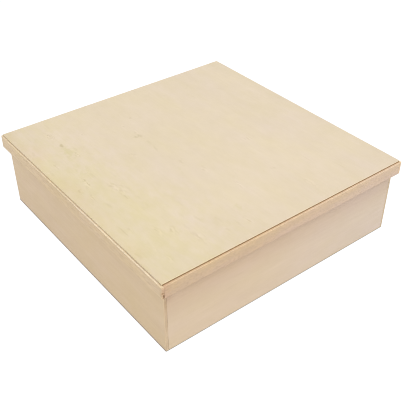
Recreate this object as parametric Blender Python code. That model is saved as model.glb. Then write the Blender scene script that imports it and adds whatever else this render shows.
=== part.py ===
"""Square bento box of thin pale boards, with a loose lid that slips over it.

Units are metres and +Z is up. The origin is the middle of the underside, -Y is the
front and -X is the left side.

The box is a bottom board with four walls glued on it. The lid is a thin board glued on
a frame of four rim strips, and it rests on the walls. At every corner the left and the
right piece run through from front to back, with their end grain showing, and the front
and the back piece are butted between them.
"""

import math

import bmesh
import bpy

# Box
BOX_WIDTH = 0.195
BOX_DEPTH = 0.195
WALL_HEIGHT = 0.0556
WALL_THICKNESS = 0.002
WALL_CORNER_RADIUS = 0.0008
BOTTOM_THICKNESS = 0.0012

# Lid
RIM_HEIGHT = 0.009
RIM_THICKNESS = 0.002
RIM_CORNER_RADIUS = 0.0008
LID_BOARD_THICKNESS = 0.0011
LID_BOARD_LAP = 0.0009
LID_BOARD_CORNER_RADIUS = 0.0005

# Clearances between pieces
LID_SIDE_CLEARANCE = 0.0015
LID_REST_CLEARANCE = 0.0003
GLUE_LINE = 0.0003

# Sanded edges
BOARD_ARRIS = 0.0002
BOTTOM_ARRIS = 0.0003

CORNER_STEPS = 6
ARRIS_STEPS = 3
ROUNDED_BELOW = math.radians(40)

# Heights, from the underside up
WALL_BASE = BOTTOM_THICKNESS + GLUE_LINE
WALL_TOP = WALL_BASE + WALL_HEIGHT
LID_BOARD_BASE = WALL_TOP + LID_REST_CLEARANCE
RIM_TOP = LID_BOARD_BASE - GLUE_LINE
RIM_BASE = RIM_TOP - RIM_HEIGHT

# Half sizes in plan: the box outside, the rim inside and outside, and the lid's board
BOX_HALF = (BOX_WIDTH / 2, BOX_DEPTH / 2)
RIM_INSIDE_HALF = tuple(half + LID_SIDE_CLEARANCE for half in BOX_HALF)
RIM_HALF = tuple(half + RIM_THICKNESS for half in RIM_INSIDE_HALF)
LID_BOARD_HALF = tuple(half + LID_BOARD_LAP for half in RIM_INSIDE_HALF)

# Colours of the bare wood, linear
LID_BOARD_COLOUR = (0.79, 0.67, 0.49)
RIM_COLOUR = (0.76, 0.60, 0.42)
WALL_COLOUR = (0.76, 0.61, 0.44)
BOTTOM_COLOUR = (0.72, 0.58, 0.41)
WOOD_ROUGHNESS = 0.62


def clear_scene():
    for item in list(bpy.data.objects):
        bpy.data.objects.remove(item, do_unlink=True)


def wood(name, colour):
    """Bare wood in one colour."""
    material = bpy.data.materials.new(name)
    material.use_nodes = True
    shader = material.node_tree.nodes["Principled BSDF"]
    shader.inputs["Base Color"].default_value = (*colour, 1)
    shader.inputs["Roughness"].default_value = WOOD_ROUGHNESS
    shader.inputs["Metallic"].default_value = 0
    material.diffuse_color = (*colour, 1)
    return material


def corner_points(corner, inward, radius):
    """A corner of an outline, walked anticlockwise: one point, or an arc if it is rounded.

    inward holds the signs of x and y that lead from the corner into the board.
    """
    if radius <= 0:
        return [corner]
    centre = (corner[0] + inward[0] * radius, corner[1] + inward[1] * radius)
    start = {(1, 1): 180, (-1, 1): 270, (-1, -1): 0, (1, -1): 90}[inward]
    points = []
    for step in range(CORNER_STEPS + 1):
        angle = math.radians(start + 90 * step / CORNER_STEPS)
        x = centre[0] + radius * math.cos(angle)
        y = centre[1] + radius * math.sin(angle)
        points.append((x, y))
    return points


def board_outline(low, high, front_left=0, front_right=0, back_right=0, back_left=0):
    """A rectangle in plan with the radius given for each of its corners."""
    outline = corner_points((low[0], low[1]), (1, 1), front_left)
    outline += corner_points((high[0], low[1]), (-1, 1), front_right)
    outline += corner_points((high[0], high[1]), (-1, -1), back_right)
    outline += corner_points((low[0], high[1]), (1, -1), back_left)
    return outline


def board(name, outline, base, thickness, arris, colour, parent=None):
    """A board cut to an outline in plan, standing on base, with its sharp edges sanded."""
    shape = bmesh.new()
    corners = [shape.verts.new((x, y, base)) for x, y in outline]
    underside = shape.faces.new(reversed(corners))
    grown = bmesh.ops.extrude_face_region(shape, geom=[underside], use_keep_orig=True)
    top_corners = [item for item in grown["geom"] if isinstance(item, bmesh.types.BMVert)]
    bmesh.ops.translate(shape, verts=top_corners, vec=(0, 0, thickness))
    bmesh.ops.recalc_face_normals(shape, faces=shape.faces)
    mesh = bpy.data.meshes.new(name)
    shape.to_mesh(mesh)
    shape.free()
    mesh.shade_smooth()
    mesh.set_sharp_from_angle(angle=ROUNDED_BELOW)
    mesh.materials.append(wood(f"{name}_wood", colour))
    piece = bpy.data.objects.new(name, mesh)
    bpy.context.scene.collection.objects.link(piece)
    if parent is not None:
        piece.parent = parent
        piece.matrix_parent_inverse = parent.matrix_world.inverted()
    sanding = piece.modifiers.new("sanded edges", "BEVEL")
    sanding.limit_method = "ANGLE"
    sanding.angle_limit = ROUNDED_BELOW
    sanding.width = arris
    sanding.segments = ARRIS_STEPS
    return piece


def frame_of_boards(prefix, outside, thickness, radius, base, height, colour, parent=None):
    """Four upright boards round a rectangle. The left and right ones run through."""
    half_x, half_y = outside
    butt_x = half_x - thickness - GLUE_LINE
    outlines = {
        "left": board_outline(
            (-half_x, -half_y), (-half_x + thickness, half_y),
            front_left=radius, back_left=radius,
        ),
        "right": board_outline(
            (half_x - thickness, -half_y), (half_x, half_y),
            front_right=radius, back_right=radius,
        ),
        "front": board_outline((-butt_x, -half_y), (butt_x, -half_y + thickness)),
        "back": board_outline((-butt_x, half_y - thickness), (butt_x, half_y)),
    }
    for side, outline in outlines.items():
        board(f"{prefix}_{side}", outline, base, height, BOARD_ARRIS, colour, parent)


def whole_board(name, half, radius, base, thickness, arris, colour, parent=None):
    """One board that covers a whole rectangle, with all four corners rounded."""
    low = (-half[0], -half[1])
    outline = board_outline(low, half, radius, radius, radius, radius)
    return board(name, outline, base, thickness, arris, colour, parent)


def build_box():
    whole_board(
        "bottom_board", BOX_HALF, WALL_CORNER_RADIUS, 0, BOTTOM_THICKNESS,
        BOTTOM_ARRIS, BOTTOM_COLOUR,
    )
    frame_of_boards(
        "wall", BOX_HALF, WALL_THICKNESS, WALL_CORNER_RADIUS, WALL_BASE, WALL_HEIGHT,
        WALL_COLOUR,
    )


def build_lid():
    """The lid's pieces hang from an empty on the line along which the lid lifts off."""
    lift = bpy.data.objects.new("lid_lift", None)
    lift.location = (0, 0, RIM_BASE)
    bpy.context.scene.collection.objects.link(lift)
    bpy.context.view_layer.update()
    frame_of_boards(
        "lid_rim", RIM_HALF, RIM_THICKNESS, RIM_CORNER_RADIUS, RIM_BASE, RIM_HEIGHT,
        RIM_COLOUR, lift,
    )
    whole_board(
        "lid_board", LID_BOARD_HALF, LID_BOARD_CORNER_RADIUS, LID_BOARD_BASE,
        LID_BOARD_THICKNESS, BOARD_ARRIS, LID_BOARD_COLOUR, lift,
    )


clear_scene()
build_box()
build_lid()
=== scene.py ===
"""Looks of the square bento box of thin pale boards.

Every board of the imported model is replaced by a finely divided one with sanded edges,
slightly uneven faces, a few chips, and procedural wood with its own grain and end grain.
Lengths are metres, in the model's frame: +Z is up, -Y is the front and -X the left side.
"""

import math
import random

import bpy
import numpy as np
from mathutils import Matrix, Vector, noise


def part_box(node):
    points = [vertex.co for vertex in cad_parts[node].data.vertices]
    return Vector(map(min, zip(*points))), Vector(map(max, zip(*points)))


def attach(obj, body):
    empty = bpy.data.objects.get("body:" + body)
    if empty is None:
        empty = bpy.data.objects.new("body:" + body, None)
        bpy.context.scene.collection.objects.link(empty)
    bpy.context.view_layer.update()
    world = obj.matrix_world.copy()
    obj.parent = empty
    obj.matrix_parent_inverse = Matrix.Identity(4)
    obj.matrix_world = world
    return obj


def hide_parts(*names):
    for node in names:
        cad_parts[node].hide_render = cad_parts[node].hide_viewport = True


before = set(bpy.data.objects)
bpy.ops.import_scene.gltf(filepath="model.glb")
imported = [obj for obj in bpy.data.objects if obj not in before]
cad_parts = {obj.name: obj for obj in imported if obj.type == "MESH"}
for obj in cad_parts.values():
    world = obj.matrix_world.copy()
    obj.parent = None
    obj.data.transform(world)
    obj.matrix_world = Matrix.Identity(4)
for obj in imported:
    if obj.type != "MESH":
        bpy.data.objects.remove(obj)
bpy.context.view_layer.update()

MM = 0.001

# Axes by number
X = 0
Y = 1
Z = 2

# Camera, from the photograph's edges: place, heading from +X, downward tilt and roll
CAMERA_PLACE = (-0.2507, -0.3290, 0.3184)
CAMERA_HEADING = math.radians(52.16)
CAMERA_TILT = math.radians(37.03)
CAMERA_ROLL = math.radians(0.09)
CAMERA_LENS_MM = 60.26
CAMERA_CLIP_START = 0.01

# Boards: width of the sanded arris, and of the sharper one at a glued joint, radius of an
# outer corner, and how far a glue line that the model leaves open is closed here
ARRIS = 0.22 * MM
JOINT_ARRIS = 0.05 * MM
CORNER_RADIUS = 0.8 * MM
LID_CORNER_RADIUS = 0.5 * MM
SEAM_CLOSING = 0.27 * MM
NO_TRIMS = ((0, 0, 0), (0, 0, 0))

# Sides of the walls and of the lid's frame: axis along the grain, way out, and how much
# longer the board is at each of its ends than in the model
BOTH_WAYS = (-1, 1)
FRAME_SIDES = {
    "left": (Y, -1, 0),
    "right": (Y, 1, 0),
    "front": (X, -1, SEAM_CLOSING),
    "back": (X, 1, SEAM_CLOSING),
}

# Seeds of the boards, which their grain, unevenness and chips follow
WALL_SEED = 3
RIM_SEED = 61
SIDE_SEED_STEP = 11
BOTTOM_SEED = 121
LID_SEED = 140
END_SEED_STEP = 0.37

# How far a board's faces are planed unevenly along x, y and z, over what length, how
# strongly the noise for it is spread, and the step of the seed to the opposite face
FRAME_WARPS = (0.06 * MM, 0.06 * MM, 0.03 * MM)
BOTTOM_WARPS = (0.08 * MM, 0.08 * MM, 0.02 * MM)
LID_WARPS = (0.12 * MM, 0.12 * MM, 0.01 * MM)
WARP_REACH = 45 * MM
WARP_SPREAD = 0.8
WARP_SEED_STEP = 5

# Chips along the edges: how many a board has, the shares of the edge between which they
# lie, and the share of them at the top. Their least and largest depth, reach and length, in
# millimetres, and seed. How steeply a chip deepens, and how ragged it is
WALL_CHIPS = 5
RIM_CHIPS = 12
CHIP_PLACES = (0.03, 0.97)
CHIP_TOP_SHARE = 0.65
CHIP_DEPTHS = (0.07, 0.16)
CHIP_REACHES = (0.3, 0.6)
CHIP_LENGTHS = (0.6, 1.8)
CHIP_SEEDS = (0, 50)
CHIP_STEEPNESS = 1.3
CHIP_RAGGEDNESS = 0.5
CHIP_RAGGED_REACH = 0.3 * MM

# Notches in the near corner of the lid's frame, on the left strip's end: place and reach
# along x and z, depth, and how dark each is with soiling and painted shade. How much deeper
# that darkening reaches, where it starts and is full as a share of that reach, and its tint
CORNER_NOTCHES = (
    ((-100.1 * MM, 52.4 * MM), (1.2 * MM, 0.8 * MM), 0.5 * MM, 0.7),
    ((-99.4 * MM, 49.3 * MM), (0.8 * MM, 2.5 * MM), 0.9 * MM, 1.0),
)
NOTCH_SEED = 4
NOTCH_DIRT_AND_SHADE_DEPTH = 1 * MM
NOTCH_DIRT_AND_SHADE_FADE = (1.1, 0.5)
NOTCH_DIRT_AND_SHADE_TINT = (0.68, 0.61, 0.55)

# Mesh: steps in a half arris, and the spacing of a board's mesh lines
ARC_STEPS = 3
HALF_ARRIS_DEGREES = 45
FINE_STEP = 0.45 * MM
FINE_REACH = 4 * MM
COARSE_STEP = 2.6 * MM
SMALLEST_STEP = 0.012 * MM
CHIP_STEP = 0.12 * MM

# Faces that look along the grain by more than this show end grain
END_GRAIN_SHARE = 0.8

# Colours of the bare wood, linear
LID_COLOUR = (0.827, 0.704, 0.557)
# The lid board's end grain: dark brown, and darker still with painted shade of the gap to the
# frame
LID_END_COLOUR = (0.33, 0.22, 0.12)
WALL_COLOURS = {
    "left": (0.770, 0.590, 0.401),
    "right": (0.745, 0.585, 0.409),
    "front": (0.700, 0.548, 0.411),
    "back": (0.740, 0.575, 0.404),
}
RIM_COLOURS = {
    "left": (0.775, 0.595, 0.406),
    "right": (0.755, 0.580, 0.406),
    "front": (0.628, 0.459, 0.338),
    "back": (0.730, 0.555, 0.386),
}
BOTTOM_COLOUR = (0.72, 0.57, 0.42)

# Every tint below multiplies red, green and blue. These darken the end grain
WALL_END_TINT = (0.83, 0.83, 0.83)
RIM_END_TINT = (0.96, 0.94, 0.92)
# The bottom board's end grain tint is also darker and bluer with painted contact shadow
BOTTOM_END_TINT = (0.71, 0.71, 0.78)

# Gloss and bump of all the wood
WOOD_SPECULAR = 0.25
BUMP_DISTANCE = 0.05 * MM

# How strongly the long grain's bands, streaks and fibres show
FULL_FIGURE = 1.0
LID_FIGURE = 0.28
WALL_FIGURE = 0.55

# Noises of the long grain: squeeze along it, step of the seed, scale, detail and roughness
BANDS = (0.15, 0, 45, 2, 0.5)
STREAKS = (0.06, 0, 420, 4, 0.65)
FIBRES = (0.02, 1, 1900, 3, 0.6)
BLOTCHES = (0.5, 2, 150, 4, 0.7)
WARMTH = (0.5, 4, 50, 3, 0.6)
GRAIN_SEED_SHIFTS = (1.7, 2.3, 3.1)

# Values of a noise at which its tint starts and at which it is full
NOISE_RANGE = (0.3, 0.7)
FIBRE_RANGE = (0.35, 0.7)

# By how much the noises of the long grain darken red, green and blue at full figure, and
# the tints that don't depend on the figure
BAND_DARKENING = (0.05, 0.05, 0.05)
STREAK_DARKENING = (0.028, 0.034, 0.044)
FIBRE_DARKENING = (0.054, 0.063, 0.081)
BLOTCH_TINT = (0.960, 0.957, 0.930)
WARMTH_TINT = (0.992, 0.998, 0.915)
FACE_ROUGHNESS = (0.55, 0.7)
FACE_BUMP = 0.22

# Dashes: the width divided by this is where a dash is full, and a cell's random number has
# to be over the least one by this step for a full dash
DASH_CORE = 3
DASH_CHOICE_STEP = 0.06

# Pores: squeeze along the grain, step of the seed, then scale, width and the least random
# number of a cell with a pore, and the scale, detail and range of the patches with pores
PORE_SQUEEZE = 0.07
PORE_SEED_STEP = 3
PORES = (330.0, 0.22, 0.80)
PORE_PATCHES = (45, 1)
PORE_PATCH_RANGE = (0.45, 0.62)
PORE_SHARE = 0.5
PORE_TINT = (0.86, 0.83, 0.77)

# End grain: how its rings wave, turn and stretch, then scale, detail and roughness of each
# noise with the range of values over which it tints
END_WAVES = (90, 0.9 * MM)
END_TURN = 0.5
END_STRETCH = (1.0, 1.0, 0.12)
END_RINGS = (900, 2, 0.5)
END_RING_RANGE = (0.35, 0.65)
END_RING_TINT = (0.90, 0.88, 0.84)
END_SPECKS = (2600, 2, 0.6)
END_SPECK_RANGE = (0.5, 0.7)
END_SPECK_TINT = (0.88, 0.86, 0.82)
END_PATCHES = (160, 2, 0.5)
END_PATCH_RANGE = (0.35, 0.7)
END_PATCH_TINT = (1.06, 1.06, 1.06)
END_ROUGHNESS = (0.68, 0.85)
END_BUMP = 0.3

# The lid's areas follow lines that wander: scale and reach of each shake, and how far the
# slanted line leans
LID_WANDERINGS = ((22, 26 * MM), (70, 8 * MM))
LID_SLANT = 0.18

# Areas of the lid's top: tint, and the lines on which it comes in, each with the places in
# millimetres where it starts and where it is full. They are a yellow band on the left, a
# pale streak on the right, the left edge, the back left corner, the right edge, the back
# half and the front end
LID_AREAS = (
    ((0.985, 0.995, 0.915), (("slanted", -53, -86), ("along", 62, 38))),
    ((0.992, 0.990, 1.02), (("slanted", 35, 60), ("slanted", 95, 72))),
    ((0.99, 0.967, 0.94), (("across", -84, -98),)),
    ((0.963, 0.967, 0.935), (("across", -66, -92), ("along", 48, 82))),
    ((0.975, 0.975, 0.97), (("across", 84, 98),)),
    ((1.016, 1.016, 1.012), (("along", 0, 70),)),
    ((0.970, 0.966, 0.966), (("along", -55, -98),)),
)

# Marks on the lid's top. Half a mark's breadth for each unit of its width, half its height
# above and below the top, and where it starts and is full as a share of that reach
MARK_BREADTH = 0.75
MARK_THICKNESS = 0.6 * MM
MARK_FADE = (1.1, 0.2)

# Patches of pith flecks, in millimetres from the lid's middle: start, end, width and depth.
# Then how their outline waves, the ripples in them, and where those are dark and pale
LID_FLECKS = (
    ((-74.5, 83), (-74.6, 70), 5, 0.85),
    ((-55, 67), (-54, 63), 2.5, 0.6),
    ((-89, 44), (-89.6, 33), 3, 0.55),
    ((-82.6, 17), (-84, 2), 2.6, 1.0),
    ((-91, 8), (-91.6, -2), 2.2, 0.6),
    ((-87.5, -3), (-89.4, -12), 2.6, 0.7),
    ((-91, -13), (-92, -18), 2.0, 0.5),
    ((-71, 0), (-69, -16), 8, 0.7),
    ((-70.6, -16), (-71.2, -25), 3, 0.75),
    ((-33.4, 56), (-34.2, 50), 3, 0.4),
    ((-13, 64.5), (-15.6, 60), 2.6, 0.45),
    ((-24.6, 58), (-25, 52), 2.4, 0.65),
    ((-21.4, 47), (-22.4, 40), 2.6, 0.7),
    ((-27, 40), (-20, 34), 4, 0.4),
    ((-40.4, 23), (-40.8, 13), 3.6, 0.55),
    ((-17.6, -4), (-19.6, -12.5), 2.6, 0.45),
    ((-11.4, -21), (-12.6, -29), 2.6, 0.9),
    ((30, -14), (39, -14), 5, 0.45),
    ((-5, -46), (-5.4, -59), 2.2, 0.6),
    ((25.4, -50), (25, -58), 3, 0.5),
    ((-75, -54), (-74.6, -70), 3, 0.8),
    ((-68, -60), (-66, -70), 6, 0.55),
    ((-87.4, -47), (-87.8, -53), 2.6, 0.6),
    ((-85, -70), (-85.4, -76), 2.4, 0.5),
    ((-60, -73), (-58, -86), 5, 0.5),
    ((-25, -80), (-25.6, -91), 2.6, 0.9),
    ((33, -75), (33.8, -88), 4, 0.6),
    ((-83, -82), (-84.4, -91), 3, 0.65),
    ((-41, -82), (-41.6, -88), 2.6, 0.4),
    ((-70, 47), (-71, 39), 3, 0.8),
)
FLECK_WAVES = (320, 1.0 * MM)
FLECK_RIPPLE_SQUEEZE = 0.25
FLECK_RIPPLES = (720, 3, 0.6)
FLECK_DARK_RANGE = (0.5, 0.6)
FLECK_DARK_TINT = (0.86, 0.835, 0.75)
FLECK_PALE_RANGE = (0.5, 0.4)
FLECK_PALE_TINT = (1.08, 1.08, 1.10)

# A pin knot, a darker fleck in two lobes, and a thin line, written the same way
LID_KNOTS = (
    ((-73.4, 62), (-73.8, 57), 2.4, 1.0),
    ((-27.2, 37.6), (-23, 36.6), 2.6, 0.42),
    ((-23.4, 39.6), (-21.6, 35.4), 2.0, 0.42),
    ((-21.8, 31), (-22.4, 21), 2.0, 0.26),
    ((-22.4, 21), (-24.2, 11), 2.0, 0.3),
)
KNOT_TINT = (0.80, 0.79, 0.69)

# Stains, written the same way, and how their outline waves
LID_STAINS = (
    ((-74, 60), (-74, 34), 8, 1.0),
    ((-76, 32), (-81, 10), 8, 0.5),
    ((-21, -68), (-21.6, -76), 4, 0.7),
    ((-26, -14), (-26.6, -20), 4, 0.6),
    ((-39, -68), (-40, -76), 4, 0.4),
)
STAIN_WAVES = (160, 2.5 * MM)
STAIN_TINT = (0.937, 0.950, 0.845)

# Mottles and faint dashes on the lid's top: where they are weak and where full on the
# slanted line, and how weak. Then squeeze, noise or dashes, ranges and tints, and how far
# beside each dash its pale edge lies
MOTTLED_RANGE = (-25 * MM, -62 * MM)
MOTTLED_LEAST = 0.15
MOTTLE_SQUEEZE = 0.5
MOTTLES = (210, 3, 0.6)
MOTTLE_DARK_RANGE = (0.46, 0.6)
MOTTLE_DARK_TINT = (0.987, 0.990, 0.948)
MOTTLE_PALE_RANGE = (0.46, 0.34)
MOTTLE_PALE_TINT = (1.012, 1.012, 1.045)
LID_DASH_SQUEEZE = 0.3
LID_DASHES = (190, 0.3, 0.5)
LID_DASH_TINT = (0.952, 0.948, 0.925)
LID_DASH_EDGE_SHIFT = 0.9 * MM
LID_DASH_EDGE_TINT = (1.02, 1.02, 1.03)

# Edges of the lid's board: the long ones are duller, and more so at their far end, and the
# ones at its ends are paler with a painted highlight
LID_EDGE_WAVES = (500, 0.12 * MM)
LID_EDGE_REACH = 0.2 * MM
LID_EDGE_TINT = (0.87, 0.85, 0.90)
LID_FAR_EDGE_RANGE = (20 * MM, 90 * MM)
LID_FAR_EDGE_TINT = (0.92, 0.91, 0.87)
LID_END_EDGE_HIGHLIGHT_REACH = 0.8 * MM
LID_END_EDGE_HIGHLIGHT_TINT = (1.07, 1.03, 1.0)

# Where the front wall and the front strip of the lid's frame turn paler and greyer, with
# painted cool reflected light
RIGHTWARD = (-60 * MM, 100 * MM)

# Front wall: its right part, with painted cool reflected light, the darker part under the lid
# with painted shade, and the painted shade in the near corner under the lid, with its reach
# from the left and the heights over which it comes in
FRONT_WALL_RIGHT_COOL_LIGHT_TINT = (0.977, 1.022, 1.138)
FRONT_WALL_UNDER_LID_SHADE_RANGE = (20 * MM, 45 * MM)
FRONT_WALL_UNDER_LID_SHADE_TINT = (0.92, 0.87, 0.86)
# Painted shade in the front wall's near corner, under the lid
FRONT_WALL_CORNER_SHADE_WAVES = (120, 2 * MM)
FRONT_WALL_CORNER_SHADE_REACH = 7 * MM
FRONT_WALL_CORNER_SHADE_RANGE = (36 * MM, 45 * MM)
FRONT_WALL_CORNER_SHADE_TINT = (0.95, 0.91, 0.90)

# Left wall: its back part, its lower part, its foot with painted shade, and its end grain with
# painted shade towards the lid
LEFT_WALL_BACK_RANGE = (-60 * MM, 90 * MM)
LEFT_WALL_BACK_TINT = (1.0, 1.01, 1.045)
LEFT_WALL_LOWER_RANGE = (36 * MM, 8 * MM)
LEFT_WALL_LOWER_TINT = (0.962, 0.955, 0.955)
LEFT_WALL_FOOT_SHADE_REACH = 1.4 * MM
LEFT_WALL_FOOT_SHADE_TINT = (0.86, 0.88, 0.92)
LEFT_END_UNDER_LID_SHADE_RANGE = (15 * MM, 40 * MM)
LEFT_END_UNDER_LID_SHADE_TINT = (0.91, 0.87, 0.84)

# Bottom board: painted contact shadow along the lower edge of its front and back, and of its ends
BOTTOM_CONTACT_SHADE_RANGE = (1.1 * MM, 0.45 * MM)
BOTTOM_CONTACT_SHADE_TINT = (0.48, 0.55, 0.70)
BOTTOM_END_CONTACT_SHADE_RANGE = (1.0 * MM, 0.4 * MM)
BOTTOM_END_CONTACT_SHADE_TINT = (0.62, 0.64, 0.72)

# Strips of the lid's frame: how far their mottles are squeezed along the grain, and the
# noise, range and tint of the pale patches and of the dark specks
RIM_MOTTLE_SQUEEZES = {"left": 0.16, "right": 0.16, "front": 0.55, "back": 0.16}
RIM_MOTTLES = (
    ((380, 3, 0.6), (0.42, 0.6), (1.05, 1.045, 1.015)),
    ((1100, 2, 0.6), (0.48, 0.62), (0.90, 0.885, 0.87)),
)

# Their edges: the top, paler with wear and a painted highlight, with how far down it starts
# and is full, and the foot, darker with painted shade
RIM_EDGE_WAVES = (300, 0.25 * MM)
RIM_WORN_TOP_HIGHLIGHT_TINTS = {
    "left": (1.19, 1.30, 1.50),
    "right": (1.20, 1.22, 1.22),
    "front": (1.18, 1.205, 1.29),
    "back": (1.20, 1.22, 1.22),
}
RIM_TOP_HIGHLIGHT_REACH = 0.55 * MM
RIM_TOP_HIGHLIGHT_CORE = RIM_TOP_HIGHLIGHT_REACH / 3
RIM_FOOT_SHADE_TINT = (0.80, 0.78, 0.76)
RIM_FOOT_SHADE_REACH = 0.6 * MM

# Left strip: how much weaker the painted highlight on its top is far away and at the near
# corner, its paler far part, the dull near corner with its inset, size and fade, and the tint
# of its ends
LEFT_RIM_HIGHLIGHT_RANGE = (95 * MM, -60 * MM)
LEFT_RIM_FAR_HIGHLIGHT = 0.6
LEFT_RIM_NEAR_REACH = 7 * MM
LEFT_RIM_NEAR_HIGHLIGHT = 0.2
LEFT_RIM_FAR_RANGE = (20 * MM, 80 * MM)
LEFT_RIM_FAR_TINT = (1.015, 1.03, 1.03)
DULL_CORNER_INSET = 0.8 * MM
DULL_CORNER_SIZE = (2.2 * MM, 3 * MM, 5 * MM)
DULL_CORNER_FADE = (1, 0.3)
DULL_CORNER_TINT = (0.88, 0.84, 0.82)
LEFT_RIM_END_TINT = (0.92, 0.88, 0.90)

# Front strip: more golden upwards, from so far above its foot to so far below its top, a
# little paler near the top with a painted highlight, paler and greyer to the right with
# painted cool reflected light, and darker at its near end
FRONT_RIM_GOLD_START = 1 * MM
FRONT_RIM_GOLD_FULL = 2 * MM
FRONT_RIM_GOLD_TINT = (1.0, 1.0, 0.925)
FRONT_RIM_HIGHLIGHT_START = 2.4 * MM
FRONT_RIM_HIGHLIGHT_FULL = 0.7 * MM
FRONT_RIM_HIGHLIGHT_TINT = (1.035, 1.03, 0.985)
FRONT_RIM_RIGHT_COOL_LIGHT_TINT = (1.055, 1.095, 1.24)
FRONT_RIM_NEAR_END_REACH = 6 * MM
FRONT_RIM_NEAR_END_TINT = (0.98, 0.92, 0.93)

# Floor: large, dark and matt, and glowing white by itself
FLOOR_SIZE = 24
FLOOR_ALBEDO = 0.05
FLOOR_ROUGHNESS = 0.9
FLOOR_GLOW = (1.02, 1.02, 1.03)

# Light: the room's strength by height, the softbox, and where that is aimed
HORIZON_STRENGTH = 0.85
HORIZON_TOP = 0.1
ZENITH_STRENGTH = 0.5
ZENITH_START = 0.5
KEY_PLACE = (0.1, -0.75, 1.6)
KEY_TARGET = (0, 0, 0.03)
KEY_SIZE = (1.6, 1.6)
KEY_POWER = 20.5
KEY_COLOUR = (1.0, 0.985, 0.955)
PIXEL_FILTER_WIDTH = 1.0


def spaced(low, high, step):
    """Evenly spaced values from low to high, at most step apart."""
    count = max(1, math.ceil((high - low) / step))
    return [low + (high - low) * i / count for i in range(count + 1)]


def mesh_lines(length, radii, chip_places):
    """Places of the mesh lines along a board's edge: its arcs, fine ends, coarse middle."""
    places = set()
    for radius in radii:
        for step in range(ARC_STEPS + 1):
            angle = math.radians(HALF_ARRIS_DEGREES * step / ARC_STEPS)
            place = radius * (1 - math.tan(angle))
            places.add(place)
            places.add(length - place)
    start = max(radii)
    if length > 2 * (FINE_REACH + start):
        reach = start + FINE_REACH
        near_end = spaced(start, reach, FINE_STEP)
        places.update(near_end)
        places.update(length - place for place in near_end)
        places.update(spaced(reach, length - reach, COARSE_STEP))
    else:
        places.update(spaced(start, length - start, FINE_STEP))
    for place, reach in chip_places:
        low = max(start, place - reach)
        high = min(length - start, place + reach)
        if high > low:
            places.update(spaced(low, high, CHIP_STEP))
    kept = []
    for place in sorted(places):
        if not kept or place - kept[-1] > SMALLEST_STEP:
            kept.append(place)
    kept[-1] = length
    return kept


def box_surface(lines):
    """Vertices and quads of a box's surface on the given mesh lines along x, y and z."""
    counts = [len(values) for values in lines]
    index = {}
    points = []

    def vertex(i, j, k):
        key = (i, j, k)
        if key not in index:
            index[key] = len(points)
            points.append((lines[X][i], lines[Y][j], lines[Z][k]))
        return index[key]

    quads = []
    for axis in (X, Y, Z):
        first = (axis + 1) % 3
        second = (axis + 2) % 3
        for side in (0, counts[axis] - 1):
            for p in range(counts[first] - 1):
                for q in range(counts[second] - 1):
                    corners = []
                    for dp, dq in ((0, 0), (1, 0), (1, 1), (0, 1)):
                        at = [0, 0, 0]
                        at[axis] = side
                        at[first] = p + dp
                        at[second] = q + dq
                        corners.append(vertex(*at))
                    quads.append(corners if side else corners[::-1])
    return np.array(points), quads


def eased(points, size, corner_radii):
    """Rounds the upright corners in plan, then the arrises round the top and bottom."""
    x, y, z = points.T
    width, depth, height = size
    sides = np.stack([x, width - x, y, depth - y])
    nearest = sides.argmin(0)
    inset = sides.min(0)
    outward = np.array([(-1, 0), (1, 0), (0, -1), (0, 1)], float)[nearest]
    plan = np.stack([x, y], 1)
    for (sign_x, sign_y), radius in corner_radii.items():
        corner = np.array([width if sign_x > 0 else 0, depth if sign_y > 0 else 0])
        centre = corner - radius * np.array([sign_x, sign_y])
        away = (plan - centre) * (sign_x, sign_y) / radius
        inside = (away > 0).all(1)
        longest = away[inside].max(1)
        length = np.linalg.norm(away[inside], axis=1)
        unit = away[inside] / length[:, None] * (sign_x, sign_y)
        plan[inside] = centre + unit * radius * longest[:, None]
        inset[inside] = radius * (1 - longest)
        outward[inside] = unit
    down = np.minimum(z, height - z)
    near = (inset < ARRIS) & (down < ARRIS)
    u = (ARRIS - inset)[near] / ARRIS
    v = (ARRIS - down)[near] / ARRIS
    length = np.hypot(u, v)
    shift = ARRIS - ARRIS * u / length - inset[near]
    plan[near] -= outward[near] * shift[:, None]
    drop = ARRIS - ARRIS * v / length - down[near]
    upper = np.where(z[near] > height / 2, -1, 1)
    level = z.copy()
    level[near] += upper * drop
    return np.column_stack([plan, level])


def unevenness(points, seed, depth):
    """A slow noise between 0 and depth at each point."""
    shift = Vector((seed, 2 * seed, 3 * seed))
    values = [noise.noise(Vector(point) / WARP_REACH + shift) for point in points]
    return depth * np.clip(0.5 + WARP_SPREAD * np.array(values), 0, 1)


def warped(points, size, seed, depths):
    """Draws each of the six sides in a little, unevenly, as on boards planed by hand."""
    moved = points.copy()
    for axis in (X, Y, Z):
        share = points[:, axis] / size[axis]
        flat = points.copy()
        flat[:, axis] = 0
        low = unevenness(flat, seed + axis, depths[axis])
        high = unevenness(flat, seed + axis + WARP_SEED_STEP, depths[axis])
        moved[:, axis] += low * (1 - share) - high * share
    return moved


def chipped(points, chips):
    """Pushes small dents into the board, each from its place, reach, push and seed."""
    moved = points.copy()
    for place, reach, push, seed in chips:
        shift = Vector((seed, 0, 0))
        away = (points - place) / reach
        distance = np.linalg.norm(away, axis=1)
        for i in np.nonzero(distance < 1)[0]:
            wave = noise.noise(Vector(points[i]) / CHIP_RAGGED_REACH + shift)
            ragged = 1 + CHIP_RAGGEDNESS * wave
            depth = (1 - distance[i] ** 2) ** CHIP_STEEPNESS * ragged
            moved[i] += np.array(push) * min(depth, 1)
    return moved


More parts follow.
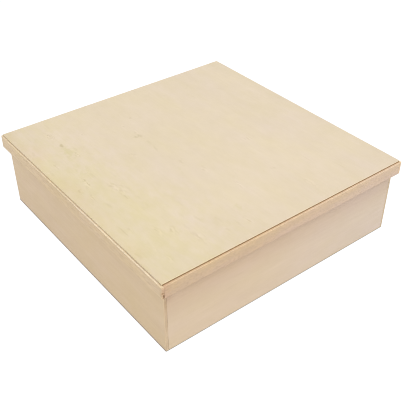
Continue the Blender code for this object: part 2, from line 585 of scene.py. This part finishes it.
def edge_chips(size, seed, count, long_axis, faces):
    """Little chips at random along a board's long edges on the given outer faces."""
    draw = random.Random(seed)
    chips = []
    for _ in range(count):
        place = np.zeros(3)
        place[long_axis] = draw.uniform(*CHIP_PLACES) * size[long_axis]
        axis, high = draw.choice(faces)
        top = draw.random() < CHIP_TOP_SHARE
        place[axis] = size[axis] if high else 0
        place[Z] = size[Z] if top else 0
        push = np.zeros(3)
        depth = draw.uniform(*CHIP_DEPTHS) * MM
        push[axis] = -depth if high else depth
        push[Z] = -depth if top else depth
        reach = np.full(3, draw.uniform(*CHIP_REACHES) * MM)
        reach[long_axis] = draw.uniform(*CHIP_LENGTHS) * MM
        chips.append((place, reach, push, draw.uniform(*CHIP_SEEDS)))
    return chips


def notch_chips(low, notches):
    """The notches in a board's front end, written as chips."""
    chips = []
    for (x, z), (reach_x, reach_z), depth, _ in notches:
        place = np.array((x - low[X], 0, z - low[Z]))
        reach = np.array((reach_x, depth, reach_z))
        chips.append((place, reach, (0, depth, 0), NOTCH_SEED))
    return chips


def no_chips(low, size):
    """What a board without chips has in place of a list of them."""
    return []


def board(
        name, node, body, trims, corner_radii, seed, warps, materials, grain_axis,
        chips=no_chips):
    """A board in a node's place, longer by the trims, with end grain across grain_axis."""
    low, high = (np.array(corner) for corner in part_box(node))
    low = low - np.array(trims[0])
    high = high + np.array(trims[1])
    size = high - low
    chip_list = chips(low, size)
    plan_radii = sorted(set(corner_radii.values()) | {ARRIS})
    lines = []
    for axis, radii in enumerate((plan_radii, plan_radii, [ARRIS])):
        places = [(chip[0][axis], chip[1][axis]) for chip in chip_list]
        lines.append(mesh_lines(size[axis], radii, places))
    points, quads = box_surface(lines)
    points = eased(points, size, corner_radii)
    points = chipped(points, chip_list)
    points = warped(points, size, seed, warps)
    mesh = bpy.data.meshes.new(name)
    mesh.from_pydata((points + low).tolist(), [], quads)
    mesh.update()
    for material in materials:
        mesh.materials.append(material)
    for face in mesh.polygons:
        face.material_index = int(abs(face.normal[grain_axis]) > END_GRAIN_SHARE)
    mesh.shade_smooth()
    piece = bpy.data.objects.new(name, mesh)
    bpy.context.scene.collection.objects.link(piece)
    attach(piece, body)
    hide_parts(node)


class Nodes:
    """Short calls for building a material's nodes."""

    # Middle of a noise's colours
    NOISE_MIDDLE = (0.5, 0.5, 0.5)

    # Sockets of the mix node for colours
    MIX_SHARE = 0
    MIX_FIRST = 6
    MIX_SECOND = 7
    MIX_RESULT = 2

    def __init__(self, tree, coordinates="Object"):
        self.tree = tree
        self.coordinates = tree.nodes.new("ShaderNodeTexCoord").outputs[coordinates]

    def put(self, value, socket):
        """Links a value from another node, or sets a plain one."""
        if isinstance(value, bpy.types.NodeSocket):
            self.tree.links.new(value, socket)
        else:
            socket.default_value = value

    def node(self, kind, inputs, **settings):
        """A new node with its settings and inputs."""
        made = self.tree.nodes.new(kind)
        for key, value in settings.items():
            setattr(made, key, value)
        for key, value in inputs.items():
            self.put(value, made.inputs[key])
        return made

    def math(self, operation, a, b=0.0):
        """A sum, a product or the like of two values."""
        return self.node("ShaderNodeMath", {0: a, 1: b}, operation=operation).outputs[0]

    def both(self, first, second):
        """How far a point is in the first and in the second area at once."""
        return self.math("MULTIPLY", first, second)

    def vector(self, operation, a, b):
        """A sum, a product or the like of two vectors."""
        inputs = {0: a, 1: b}
        made = self.node("ShaderNodeVectorMath", inputs, operation=operation)
        return made.outputs["Vector"]

    def length(self, vector):
        """How long a vector is."""
        made = self.node("ShaderNodeVectorMath", {0: vector}, operation="LENGTH")
        return made.outputs["Value"]

    def axis(self, vector, index):
        """A vector's part along an axis."""
        return self.node("ShaderNodeSeparateXYZ", {0: vector}).outputs[index]

    def placed(self, source, place, angle, size):
        """Coordinates inside a box of the given half size, turned about +Z."""
        inputs = {"Vector": source, "Location": place, "Rotation": (0, 0, angle), "Scale": size}
        return self.node("ShaderNodeMapping", inputs, vector_type="TEXTURE").outputs[0]

    def scaled(self, source, factors, offset=(0, 0, 0)):
        """Coordinates times the factors, then moved by the offset."""
        inputs = {"Vector": source, "Scale": factors, "Location": offset}
        return self.node("ShaderNodeMapping", inputs, vector_type="POINT").outputs[0]

    def noise(self, source, scale, detail=2.0, roughness=0.5, output="Fac"):
        """A smooth noise, mostly between 0.3 and 0.7."""
        inputs = {"Vector": source, "Scale": scale, "Detail": detail, "Roughness": roughness}
        return self.node("ShaderNodeTexNoise", inputs).outputs[output]

    def ramp(self, value, low, high, to_low=0.0, to_high=1.0, kind="SMOOTHSTEP"):
        """From to_low where value is low to to_high where it is high, and level beyond."""
        inputs = {
            "Value": value, "From Min": low, "From Max": high, "To Min": to_low, "To Max": to_high,
        }
        return self.node("ShaderNodeMapRange", inputs, interpolation_type=kind).outputs["Result"]

    def tinted(self, colours, share, factors):
        """The colours times the factors, as far as share says."""
        inputs = {
            self.MIX_SHARE: share, self.MIX_FIRST: colours, self.MIX_SECOND: (*factors, 1),
        }
        made = self.node("ShaderNodeMix", inputs, data_type="RGBA", blend_type="MULTIPLY")
        return made.outputs[self.MIX_RESULT]

    def faded(self, colours, value, start, full, factors):
        """The colours times the factors, not at all where value is start, fully at full."""
        return self.tinted(colours, self.ramp(value, start, full), factors)

    def shaken(self, source, scale, reach):
        """Coordinates moved to and fro by a noise, by up to about reach."""
        wave = self.noise(source, scale, output="Color")
        centred = self.vector("SUBTRACT", wave, self.NOISE_MIDDLE)
        moved = self.vector("MULTIPLY", centred, (2 * reach, 2 * reach, 2 * reach))
        return self.vector("ADD", source, moved)


def grain_coordinates(n, along, squeeze, seed):
    """Coordinates squeezed along the grain, so that a noise on them becomes streaks."""
    factors = [1.0, 1.0, 1.0]
    factors[along] = squeeze
    return n.scaled(n.coordinates, factors, [seed * shift for shift in GRAIN_SEED_SHIFTS])


def grain_noise(n, along, seed, look):
    """A noise drawn out along the grain."""
    squeeze, seed_step, scale, detail, roughness = look
    drawn_out = grain_coordinates(n, along, squeeze, seed + seed_step)
    return n.noise(drawn_out, scale, detail, roughness)


def dashes(n, source, scale, width, least):
    """Dashes in those of a pattern's cells whose random number is over the least one."""
    found = n.node("ShaderNodeTexVoronoi", {"Vector": source, "Scale": scale})
    dash = n.ramp(found.outputs["Distance"], width, width / DASH_CORE)
    number = n.axis(found.outputs["Color"], X)
    return n.both(dash, n.ramp(number, least, least + DASH_CHOICE_STEP))


def pores(n, along, seed):
    """Short thin dashes along the grain, in a few places only."""
    cells = grain_coordinates(n, along, PORE_SQUEEZE, seed + PORE_SEED_STEP)
    patches = n.ramp(n.noise(n.coordinates, *PORE_PATCHES), *PORE_PATCH_RANGE)
    return n.both(dashes(n, cells, *PORES), patches)


def wood_material(name):
    """A new material of bare wood, with calls for its nodes and its shader."""
    material = bpy.data.materials.new(name)
    material.use_nodes = True
    shader = material.node_tree.nodes["Principled BSDF"]
    shader.inputs["Specular IOR Level"].default_value = WOOD_SPECULAR
    return material, Nodes(material.node_tree), shader


def finish_wood(n, shader, tint, roughness, height, strength):
    """Links the colours, the roughness and the bump to the shader."""
    n.put(tint, shader.inputs["Base Color"])
    n.put(roughness, shader.inputs["Roughness"])
    inputs = {"Strength": strength, "Distance": BUMP_DISTANCE, "Height": height}
    bump = n.node("ShaderNodeBump", inputs)
    n.put(bump.outputs["Normal"], shader.inputs["Normal"])


def darkened(amounts, figure):
    """The tint that darkens red, green and blue by the amounts times the figure."""
    return tuple(1 - amount * figure for amount in amounts)


def face_wood(name, base, along, seed, extra, figure):
    """Long grain: soft bands, streaks, fibres, blotches and a few pores along an axis."""
    material, n, shader = wood_material(name)
    bands = grain_noise(n, along, seed, BANDS)
    streaks = grain_noise(n, along, seed, STREAKS)
    fibres = grain_noise(n, along, seed, FIBRES)
    blotches = n.ramp(grain_noise(n, along, seed, BLOTCHES), *NOISE_RANGE, kind="LINEAR")
    warmth = n.ramp(grain_noise(n, along, seed, WARMTH), *NOISE_RANGE, kind="LINEAR")
    thin = pores(n, along, seed)
    tint = n.faded((*base, 1), bands, *NOISE_RANGE, darkened(BAND_DARKENING, figure))
    tint = n.tinted(tint, blotches, BLOTCH_TINT)
    tint = n.tinted(tint, warmth, WARMTH_TINT)
    tint = n.faded(tint, streaks, *NOISE_RANGE, darkened(STREAK_DARKENING, figure))
    tint = n.faded(tint, fibres, *FIBRE_RANGE, darkened(FIBRE_DARKENING, figure))
    tint = n.tinted(tint, n.math("MULTIPLY", thin, PORE_SHARE), PORE_TINT)
    if extra:
        tint = extra(n, tint)
    roughness = n.ramp(streaks, *NOISE_RANGE, *FACE_ROUGHNESS)
    height = n.math("SUBTRACT", n.math("ADD", streaks, fibres), thin)
    finish_wood(n, shader, tint, roughness, height, FACE_BUMP)
    return material


def end_wood(name, base, seed, extra):
    """End grain: cut growth rings across the board, with open fibre ends."""
    material, n, shader = wood_material(name)
    inputs = {"Vector": n.shaken(n.coordinates, *END_WAVES), "Angle": END_TURN}
    turned = n.node("ShaderNodeVectorRotate", inputs, rotation_type="Z_AXIS").outputs[0]
    rings = n.noise(n.scaled(turned, END_STRETCH, (seed, seed * 2, seed * 3)), *END_RINGS)
    specks = n.noise(n.scaled(n.coordinates, (1, 1, 1), (seed, 0, 0)), *END_SPECKS)
    patches = n.noise(n.scaled(n.coordinates, (1, 1, 1), (0, seed, 0)), *END_PATCHES)
    tint = n.faded((*base, 1), rings, *END_RING_RANGE, END_RING_TINT)
    tint = n.faded(tint, specks, *END_SPECK_RANGE, END_SPECK_TINT)
    tint = n.faded(tint, patches, *END_PATCH_RANGE, END_PATCH_TINT)
    if extra:
        tint = extra(n, tint)
    roughness = n.ramp(specks, *NOISE_RANGE, *END_ROUGHNESS)
    finish_wood(n, shader, tint, roughness, n.math("ADD", rings, specks), END_BUMP)
    return material


def wood_pair(name, base, along, seed, end, extra, end_extra, figure):
    """Long grain and end grain of one board."""
    return [
        face_wood(f"{name}_grain", base, along, seed, extra, figure),
        end_wood(f"{name}_end", end, seed + END_SEED_STEP, end_extra),
    ]


def shaded(colour, shares):
    """A colour times the shares of red, green and blue."""
    return tuple(value * share for value, share in zip(colour, shares))


def line_masks(n, source, lines, level):
    """The strongest of the marks at each point: each is a short soft line on the lid's top."""
    strongest = 0.0
    for start, end, width, depth in lines:
        run = Vector(end) - Vector(start)
        middle = (Vector(start) + Vector(end)) / 2 * MM
        angle = math.atan2(run.y, run.x)
        size = ((run.length + width) / 2 * MM, width * MARK_BREADTH * MM, MARK_THICKNESS)
        local = n.placed(source, (middle.x, middle.y, level), angle, size)
        mark = n.ramp(n.length(local), *MARK_FADE, 0, depth)
        strongest = n.math("MAXIMUM", strongest, mark)
    return strongest


def lid_figure(n, tint):
    """The lid's own figure: its areas, stains, mottles, dashes, flecks, knots and edges."""
    _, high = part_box("lid_board")
    top = high[Z]
    wandering = n.coordinates
    for waves in LID_WANDERINGS:
        wandering = n.shaken(wandering, *waves)
    across = n.axis(wandering, X)
    along = n.axis(wandering, Y)
    slanted = n.math("ADD", across, n.math("MULTIPLY", along, LID_SLANT))
    tint = lid_areas(n, tint, {"across": across, "along": along, "slanted": slanted})
    stained = line_masks(n, n.shaken(n.coordinates, *STAIN_WAVES), LID_STAINS, top)
    tint = n.tinted(tint, stained, STAIN_TINT)
    ragged = n.shaken(n.coordinates, *FLECK_WAVES)
    leftward = n.ramp(slanted, *MOTTLED_RANGE, MOTTLED_LEAST, 1)
    tint = lid_mottles(n, tint, ragged, leftward)
    flecked = line_masks(n, ragged, LID_FLECKS, top)
    ripple = n.noise(n.scaled(ragged, (1, FLECK_RIPPLE_SQUEEZE, 1)), *FLECK_RIPPLES)
    dark = n.both(flecked, n.ramp(ripple, *FLECK_DARK_RANGE))
    tint = n.tinted(tint, dark, FLECK_DARK_TINT)
    pale = n.both(flecked, n.ramp(ripple, *FLECK_PALE_RANGE))
    tint = n.tinted(tint, pale, FLECK_PALE_TINT)
    tint = n.tinted(tint, line_masks(n, ragged, LID_KNOTS, top), KNOT_TINT)
    return lid_edges(n, tint, along, high)


def lid_areas(n, tint, lines):
    """The large soft areas of the lid's top, each on one or two of the wandering lines."""
    for factors, fades in LID_AREAS:
        shares = [n.ramp(lines[line], start * MM, full * MM) for line, start, full in fades]
        area = shares[0]
        for share in shares[1:]:
            area = n.both(area, share)
        tint = n.tinted(tint, area, factors)
    return tint


def lid_mottles(n, tint, ragged, leftward):
    """The lid's darker and paler mottles, and its faint dashes with their pale edges."""
    mottles = n.noise(n.scaled(ragged, (1, MOTTLE_SQUEEZE, 1)), *MOTTLES)
    dark = n.ramp(mottles, *MOTTLE_DARK_RANGE)
    tint = n.tinted(tint, n.both(dark, leftward), MOTTLE_DARK_TINT)
    pale = n.ramp(mottles, *MOTTLE_PALE_RANGE)
    tint = n.tinted(tint, n.both(pale, leftward), MOTTLE_PALE_TINT)
    for shift, factors in ((0, LID_DASH_TINT), (LID_DASH_EDGE_SHIFT, LID_DASH_EDGE_TINT)):
        drawn_out = n.scaled(ragged, (1, LID_DASH_SQUEEZE, 1), (shift, 0, 0))
        tint = n.tinted(tint, n.both(dashes(n, drawn_out, *LID_DASHES), leftward), factors)
    return tint


def lid_edges(n, tint, along, high):
    """The duller long edges of the lid's board, and the paler ones at its ends, a painted
    highlight.
    """
    uneven = n.shaken(n.coordinates, *LID_EDGE_WAVES)
    aside = n.math("ABSOLUTE", n.axis(uneven, X))
    ahead = n.math("ABSOLUTE", n.axis(uneven, Y))
    edge = n.ramp(aside, high[X] - LID_EDGE_REACH, high[X])
    tint = n.tinted(tint, edge, LID_EDGE_TINT)
    far_edge = n.both(edge, n.ramp(along, *LID_FAR_EDGE_RANGE))
    tint = n.tinted(tint, far_edge, LID_FAR_EDGE_TINT)
    # Painted highlight along the top edges at the board's ends
    return n.faded(tint, ahead, high[Y] - LID_END_EDGE_HIGHLIGHT_REACH, high[Y], LID_END_EDGE_HIGHLIGHT_TINT)


def front_wall_figure(n, tint):
    """The front wall is paler and greyer to the right with painted cool reflected light, darker
    near the lid with painted shade, and darker still there in its near corner with painted shade."""
    low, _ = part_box("wall_front")
    across = n.axis(n.coordinates, X)
    height = n.axis(n.coordinates, Z)
    # Painted cool reflected light, paler and greyer to the right
    tint = n.faded(tint, across, *RIGHTWARD, FRONT_WALL_RIGHT_COOL_LIGHT_TINT)
    # Painted shade under the lid's frame, darker towards the top of the wall
    tint = n.faded(tint, height, *FRONT_WALL_UNDER_LID_SHADE_RANGE, FRONT_WALL_UNDER_LID_SHADE_TINT)
    # Painted shade in the near corner, under the lid's frame
    wandering = n.shaken(n.coordinates, *FRONT_WALL_CORNER_SHADE_WAVES)
    aside = n.ramp(n.axis(wandering, X), low[X] + FRONT_WALL_CORNER_SHADE_REACH, low[X])
    above = n.ramp(n.axis(wandering, Z), *FRONT_WALL_CORNER_SHADE_RANGE)
    return n.tinted(tint, n.both(aside, above), FRONT_WALL_CORNER_SHADE_TINT)


def left_wall_figure(n, tint):
    """The left wall is greyer to the back, darker low down, and darker at its foot with painted
    shade.
    """
    low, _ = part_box("wall_left")
    along = n.axis(n.coordinates, Y)
    height = n.axis(n.coordinates, Z)
    tint = n.faded(tint, along, *LEFT_WALL_BACK_RANGE, LEFT_WALL_BACK_TINT)
    tint = n.faded(tint, height, *LEFT_WALL_LOWER_RANGE, LEFT_WALL_LOWER_TINT)
    # Painted shade where the wall stands on the bottom board
    foot = (low[Z] + LEFT_WALL_FOOT_SHADE_REACH, low[Z])
    return n.faded(tint, height, *foot, LEFT_WALL_FOOT_SHADE_TINT)


def left_end_figure(n, tint):
    """The left wall's end grain is darker towards the lid, with painted shade under the lid."""
    height = n.axis(n.coordinates, Z)
    return n.faded(tint, height, *LEFT_END_UNDER_LID_SHADE_RANGE, LEFT_END_UNDER_LID_SHADE_TINT)


def bottom_figure(n, tint):
    """The bottom board's front and back are darker along the lower edge, with painted contact
    shadow.
    """
    height = n.axis(n.coordinates, Z)
    return n.faded(tint, height, *BOTTOM_CONTACT_SHADE_RANGE, BOTTOM_CONTACT_SHADE_TINT)


def bottom_end_figure(n, tint):
    """The bottom board's ends have a little less of that painted contact shadow."""
    height = n.axis(n.coordinates, Z)
    return n.faded(tint, height, *BOTTOM_END_CONTACT_SHADE_RANGE, BOTTOM_END_CONTACT_SHADE_TINT)


def rim_figure(side):
    """One strip of the lid's frame: mottled, paler on its top with wear and a painted
    highlight, darker along its foot with painted shade.
    """
    low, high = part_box(f"lid_rim_{side}")
    top = high[Z] + SEAM_CLOSING
    grain_axis = FRAME_SIDES[side][0]

    def figure(n, tint):
        drawn_out = grain_coordinates(n, grain_axis, RIM_MOTTLE_SQUEEZES[side], 0)
        for settings, (start, full), factors in RIM_MOTTLES:
            tint = n.faded(tint, n.noise(drawn_out, *settings), start, full, factors)
        height = n.axis(n.shaken(n.coordinates, *RIM_EDGE_WAVES), Z)
        # Wear and a painted highlight along the top edge
        worn_highlight = n.ramp(height, top - RIM_TOP_HIGHLIGHT_REACH, top - RIM_TOP_HIGHLIGHT_CORE)
        if side == "left":
            along = n.axis(n.coordinates, Y)
            near_end = (low[Y], low[Y] + LEFT_RIM_NEAR_REACH)
            worn_highlight = n.both(worn_highlight, n.ramp(along, *LEFT_RIM_HIGHLIGHT_RANGE, LEFT_RIM_FAR_HIGHLIGHT, 1))
            worn_highlight = n.both(worn_highlight, n.ramp(along, *near_end, LEFT_RIM_NEAR_HIGHLIGHT, 1))
        tint = n.tinted(tint, worn_highlight, RIM_WORN_TOP_HIGHLIGHT_TINTS[side])
        # Painted shade along the foot, under the strip's lower edge
        return n.faded(tint, height, low[Z] + RIM_FOOT_SHADE_REACH, low[Z], RIM_FOOT_SHADE_TINT)

    return figure


def front_rim_figure(n, tint):
    """The front strip is paler and greyer to the right with painted cool reflected light, more
    golden towards its top, a little paler near it with a painted highlight, and darker at its
    near end."""
    low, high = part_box("lid_rim_front")
    across = n.axis(n.coordinates, X)
    height = n.axis(n.coordinates, Z)
    golden = (low[Z] + FRONT_RIM_GOLD_START, high[Z] - FRONT_RIM_GOLD_FULL)
    tint = n.faded(tint, height, *golden, FRONT_RIM_GOLD_TINT)
    # Painted highlight, a little paler near the top
    pale = (high[Z] - FRONT_RIM_HIGHLIGHT_START, high[Z] - FRONT_RIM_HIGHLIGHT_FULL)
    tint = n.faded(tint, height, *pale, FRONT_RIM_HIGHLIGHT_TINT)
    # Painted cool reflected light, paler and greyer to the right
    tint = n.faded(tint, across, *RIGHTWARD, FRONT_RIM_RIGHT_COOL_LIGHT_TINT)
    near_end_span = (low[X] + FRONT_RIM_NEAR_END_REACH, low[X])
    tint = n.faded(tint, across, *near_end_span, FRONT_RIM_NEAR_END_TINT)
    return rim_figure("front")(n, tint)


def left_rim_figure(n, tint):
    """The left strip is paler far away, dull at its near corner, and darker in its notches
    with soiling and painted shade.
    """
    tint = rim_figure("left")(n, tint)
    along = n.axis(n.coordinates, Y)
    tint = n.faded(tint, along, *LEFT_RIM_FAR_RANGE, LEFT_RIM_FAR_TINT)
    low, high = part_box("lid_rim_left")
    front = low[Y]
    corner = (low[X] + DULL_CORNER_INSET, front, (low[Z] + high[Z]) / 2)
    dull = n.length(n.placed(n.coordinates, corner, 0, DULL_CORNER_SIZE))
    tint = n.faded(tint, dull, *DULL_CORNER_FADE, DULL_CORNER_TINT)
    # Soiling and painted shade in the notches
    for (x, z), (reach_x, reach_z), depth, dirt_and_shade in CORNER_NOTCHES:
        size = (reach_x, depth + NOTCH_DIRT_AND_SHADE_DEPTH, reach_z)
        away = n.length(n.placed(n.coordinates, (x, front, z), 0, size))
        tint = n.tinted(tint, n.ramp(away, *NOTCH_DIRT_AND_SHADE_FADE, 0, dirt_and_shade), NOTCH_DIRT_AND_SHADE_TINT)
    return tint


def left_rim_end_figure(n, tint):
    """The left strip's ends, which are a little darker and pinker all over."""
    return left_rim_figure(n, n.tinted(tint, 1.0, LEFT_RIM_END_TINT))


def side_radii(grain_axis, outer):
    """Corner radii in plan of a frame's board: rounded outside on the through boards only."""
    radii = {}
    for x in BOTH_WAYS:
        for y in BOTH_WAYS:
            through = grain_axis == Y
            outside = (x if through else y) == outer
            radii[(x, y)] = CORNER_RADIUS if through and outside else JOINT_ARRIS
    return radii


def even_radii(radius):
    """The same radius in plan for all four corners."""
    return {(x, y): radius for x in BOTH_WAYS for y in BOTH_WAYS}


def build_frame(
        prefix, piece_prefix, body, colours, end_tint, closings, first_seed, figures,
        chip_count, notches):
    """The four boards round the box or the lid. The left and right ones run through.

    closings holds how much longer they are at the bottom and at the top, figures the
    figures of their long and end grain, and notches the notches in their front ends.
    """
    for number, (side, (grain_axis, outer, closing)) in enumerate(FRAME_SIDES.items()):
        seed = first_seed + number * SIDE_SEED_STEP
        name = f"{piece_prefix}_{side}"
        figure, end_figure = figures.get(side, (None, None))
        materials = wood_pair(
            name, colours[side], grain_axis, seed, shaded(colours[side], end_tint),
            figure, end_figure, WALL_FIGURE,
        )

        def chips(low, size):
            faces = [(1 - grain_axis, outer > 0)]
            found = edge_chips(size, seed, chip_count, grain_axis, faces)
            return found + notch_chips(low, notches.get(side, ()))

        trims = ((closing, 0, closings[0]), (closing, 0, closings[1]))
        board(
            name, f"{prefix}_{side}", body, trims, side_radii(grain_axis, outer), seed,
            FRAME_WARPS, materials, grain_axis, chips,
        )


def build_walls():
    """The four walls of the box."""
    figures = {
        "front": (front_wall_figure, None),
        "left": (left_wall_figure, left_end_figure),
    }
    build_frame(
        "wall", "wall_plank", "box", WALL_COLOURS, WALL_END_TINT,
        (SEAM_CLOSING, 0), WALL_SEED, figures, WALL_CHIPS, {},
    )


def build_rim():
    """The four strips of the lid's frame."""
    figures = {
        "left": (left_rim_figure, left_rim_end_figure),
        "right": (rim_figure("right"), rim_figure("right")),
        "front": (front_rim_figure, None),
        "back": (rim_figure("back"), None),
    }
    build_frame(
        "lid_rim", "rim_strip", "lid", RIM_COLOURS, RIM_END_TINT,
        (0, SEAM_CLOSING), RIM_SEED, figures, RIM_CHIPS, {"left": CORNER_NOTCHES},
    )


def build_bottom():
    """The bottom board, with its grain from left to right."""
    materials = wood_pair(
        "bottom_panel", BOTTOM_COLOUR, X, BOTTOM_SEED, shaded(BOTTOM_COLOUR, BOTTOM_END_TINT),
        bottom_figure, bottom_end_figure, FULL_FIGURE,
    )
    board(
        "bottom_panel", "bottom_board", "box", NO_TRIMS,
        even_radii(CORNER_RADIUS), BOTTOM_SEED, BOTTOM_WARPS, materials, X,
    )


def build_lid_board():
    """The lid's board, with its grain from front to back."""
    materials = wood_pair(
        "lid_panel", LID_COLOUR, Y, LID_SEED, LID_END_COLOUR, lid_figure, None, LID_FIGURE,
    )
    board(
        "lid_panel", "lid_board", "lid", NO_TRIMS,
        even_radii(LID_CORNER_RADIUS), LID_SEED, LID_WARPS, materials, Y,
    )


def build_camera():
    """The camera at the photograph's place and angle."""
    forward = Vector((
        math.cos(CAMERA_TILT) * math.cos(CAMERA_HEADING),
        math.cos(CAMERA_TILT) * math.sin(CAMERA_HEADING),
        -math.sin(CAMERA_TILT),
    ))
    right = forward.cross(Vector((0, 0, 1))).normalized()
    up = right.cross(forward)
    rolled_right = right * math.cos(CAMERA_ROLL) - up * math.sin(CAMERA_ROLL)
    rolled_up = up * math.cos(CAMERA_ROLL) + right * math.sin(CAMERA_ROLL)
    data = bpy.data.cameras.new("camera")
    data.lens = CAMERA_LENS_MM
    data.clip_start = CAMERA_CLIP_START
    camera = bpy.data.objects.new("camera", data)
    turn = Matrix((rolled_right, rolled_up, -forward)).transposed().to_4x4()
    camera.matrix_world = Matrix.Translation(CAMERA_PLACE) @ turn
    bpy.context.scene.collection.objects.link(camera)
    bpy.context.scene.camera = camera


def build_floor():
    """A plain white sweep that glows evenly."""
    half = FLOOR_SIZE / 2
    mesh = bpy.data.meshes.new("floor")
    corners = [(-half, -half, 0), (half, -half, 0), (half, half, 0), (-half, half, 0)]
    mesh.from_pydata(corners, [], [(0, 1, 2, 3)])
    floor = bpy.data.objects.new("floor", mesh)
    bpy.context.scene.collection.objects.link(floor)
    material = bpy.data.materials.new("white_sweep")
    material.use_nodes = True
    shader = material.node_tree.nodes["Principled BSDF"]
    shader.inputs["Base Color"].default_value = (FLOOR_ALBEDO, FLOOR_ALBEDO, FLOOR_ALBEDO, 1)
    shader.inputs["Roughness"].default_value = FLOOR_ROUGHNESS
    shader.inputs["Specular IOR Level"].default_value = 0
    shader.inputs["Emission Color"].default_value = (*FLOOR_GLOW, 1)
    shader.inputs["Emission Strength"].default_value = 1
    mesh.materials.append(material)


def build_softbox():
    """One large softbox overhead, in front of the box."""
    data = bpy.data.lights.new("key", "AREA")
    data.shape = "RECTANGLE"
    data.size = KEY_SIZE[0]
    data.size_y = KEY_SIZE[1]
    data.energy = KEY_POWER
    data.color = KEY_COLOUR
    lamp = bpy.data.objects.new("key", data)
    lamp.location = KEY_PLACE
    aim = Vector(KEY_TARGET) - Vector(KEY_PLACE)
    lamp.rotation_euler = aim.to_track_quat("-Z", "Y").to_euler()
    bpy.context.scene.collection.objects.link(lamp)


def build_room():
    """A white room, brightest at the horizon."""
    world = bpy.data.worlds.new("studio")
    world.use_nodes = True
    n = Nodes(world.node_tree, "Generated")
    height = n.axis(n.coordinates, Z)
    strength = n.ramp(height, HORIZON_TOP, ZENITH_START, HORIZON_STRENGTH, ZENITH_STRENGTH)
    background = world.node_tree.nodes["Background"]
    background.inputs["Color"].default_value = (1, 1, 1, 1)
    n.put(strength, background.inputs["Strength"])
    bpy.context.scene.world = world


def set_picture():
    """Plain colours, and a crisp picture without noise."""
    view = bpy.context.scene.view_settings
    view.view_transform = "Standard"
    view.look = "None"
    view.exposure = 0
    view.gamma = 1
    bpy.context.scene.cycles.use_denoising = True
    bpy.context.scene.cycles.filter_width = PIXEL_FILTER_WIDTH


build_camera()
build_floor()
build_room()
build_softbox()
set_picture()
build_walls()
build_rim()
build_bottom()
build_lid_board()
